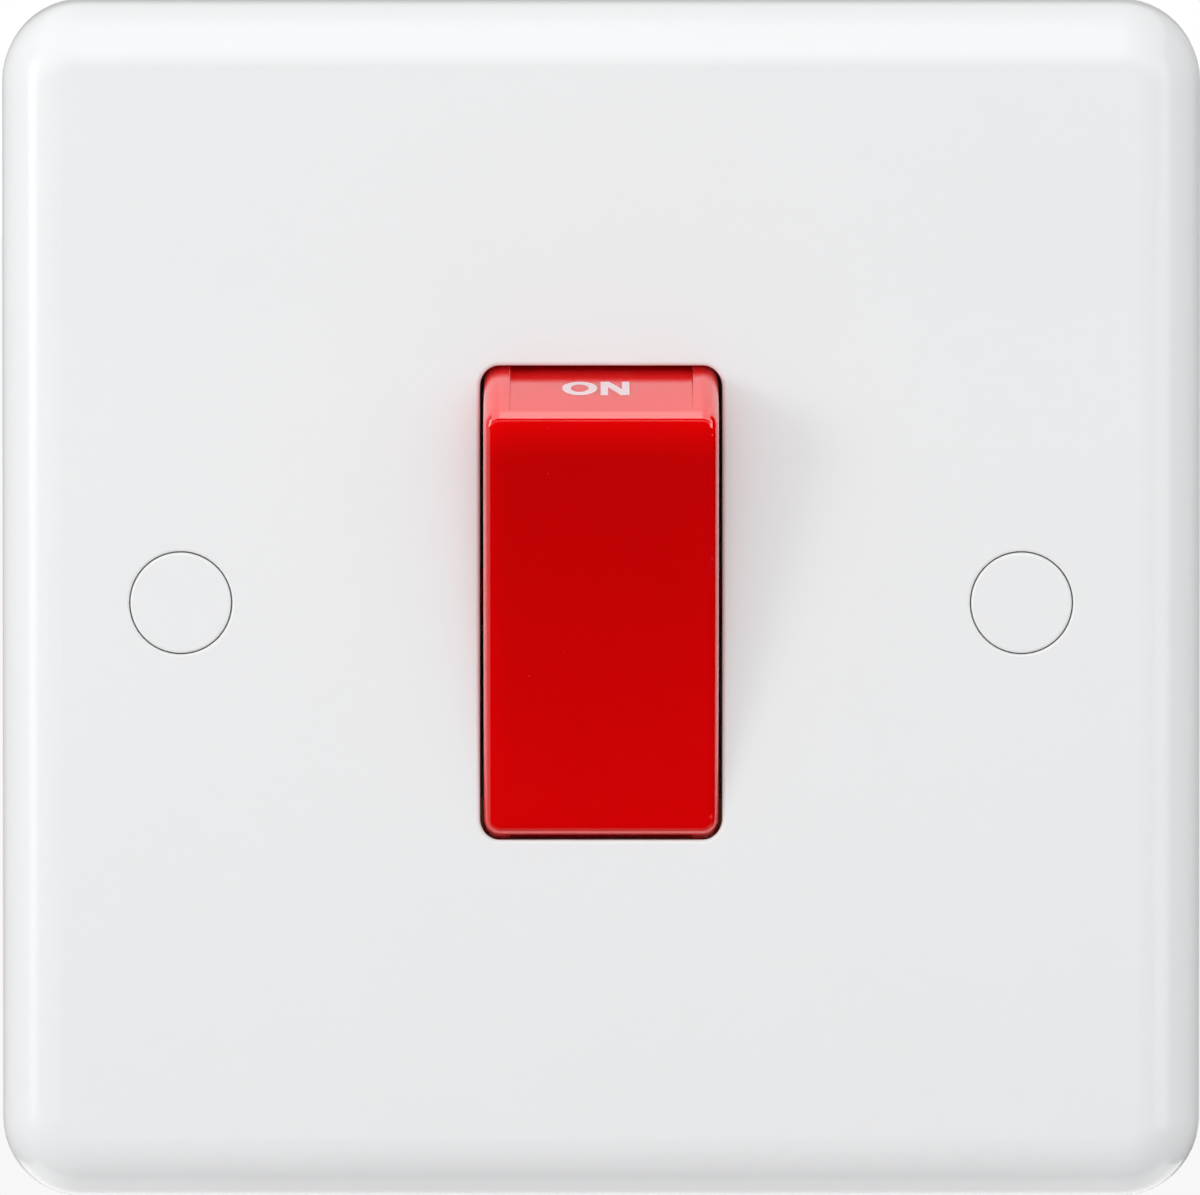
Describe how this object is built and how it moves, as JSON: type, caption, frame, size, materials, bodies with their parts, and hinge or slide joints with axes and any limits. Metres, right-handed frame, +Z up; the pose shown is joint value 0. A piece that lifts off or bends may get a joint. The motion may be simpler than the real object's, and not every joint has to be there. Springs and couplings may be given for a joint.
{
  "type": "double pole switch",
  "caption": "Square white wall plate with softly rounded edges, a red rocker shown ON and round screw caps; switches both poles of a fixed circuit.",
  "frame": {"origin": "middle of the plate on the wall plane, between the two fixing screws", "axes": "+X to the right seen from the front, +Y into the wall, +Z up"},
  "size_m": [0.086, 0.0422, 0.086],
  "materials": {
    "white_moulding": "glossy white urea moulding",
    "red_moulding": "satin gloss red moulding",
    "base_moulding": "matt off-white moulding",
    "plated_steel": "zinc plated",
    "nylon": "natural nylon",
    "spring_steel": "drawn spring wire",
    "copper": "bare rolled copper",
    "silver": "silver alloy contact",
    "brass": "machined brass"
  },
  "bodies": {
    "plate": {"front_plate": "white_moulding", "screw_cap_left": "white_moulding", "screw_cap_right": "white_moulding", "switch_base": "base_moulding", "fixing_screws": "plated_steel", "base_screws": "plated_steel", "terminal_screws": "plated_steel", "supply_strip_left": "copper", "supply_strip_right": "copper", "load_strip_left": "copper", "load_strip_right": "copper", "fixed_tip_left": "silver", "fixed_tip_right": "silver", "supply_terminal_left": "brass", "supply_terminal_right": "brass", "load_terminal_left": "brass", "load_terminal_right": "brass"},
    "rocker": {"rocker": "red_moulding", "plunger_spring_left": "spring_steel", "plunger_spring_right": "spring_steel"},
    "plunger_left": {"plunger_left": "nylon"},
    "contact_left": {"contact_arm_left": "copper", "moving_tip_left": "silver"},
    "plunger_right": {"plunger_right": "nylon"},
    "contact_right": {"contact_arm_right": "copper", "moving_tip_right": "silver"}
  },
  "joints": [
    {"name": "rocker_tip", "type": "hinge", "parent": "plate", "child": "rocker", "pos_m": [0, -0.0027, 0], "axis": [1, 0, 0], "range_deg": [-17, 0]},
    {"name": "plunger_left_slide", "type": "slide", "parent": "rocker", "child": "plunger_left", "axis": [0, -0.989, -0.1478], "range_m": [0, 0.001], "stiffness_N_per_m": 400, "deforming": ["plunger_spring_left"]},
    {"name": "contact_left_rock", "type": "hinge", "parent": "plate", "child": "contact_left", "pos_m": [-0.0044, 0.01192, 0], "axis": [1, 0, 0], "range_deg": [0, 15]},
    {"name": "plunger_right_slide", "type": "slide", "parent": "rocker", "child": "plunger_right", "axis": [0, -0.989, -0.1478], "range_m": [0, 0.001], "stiffness_N_per_m": 400, "deforming": ["plunger_spring_right"]},
    {"name": "contact_right_rock", "type": "hinge", "parent": "plate", "child": "contact_right", "pos_m": [0.0044, 0.01192, 0], "axis": [1, 0, 0], "range_deg": [0, 15]}
  ],
  "couplings": [
    {"joint": "contact_left_rock", "follows": "rocker_tip", "ratio": -0.8824},
    {"joint": "contact_right_rock", "follows": "rocker_tip", "ratio": -0.8824}
  ]
}
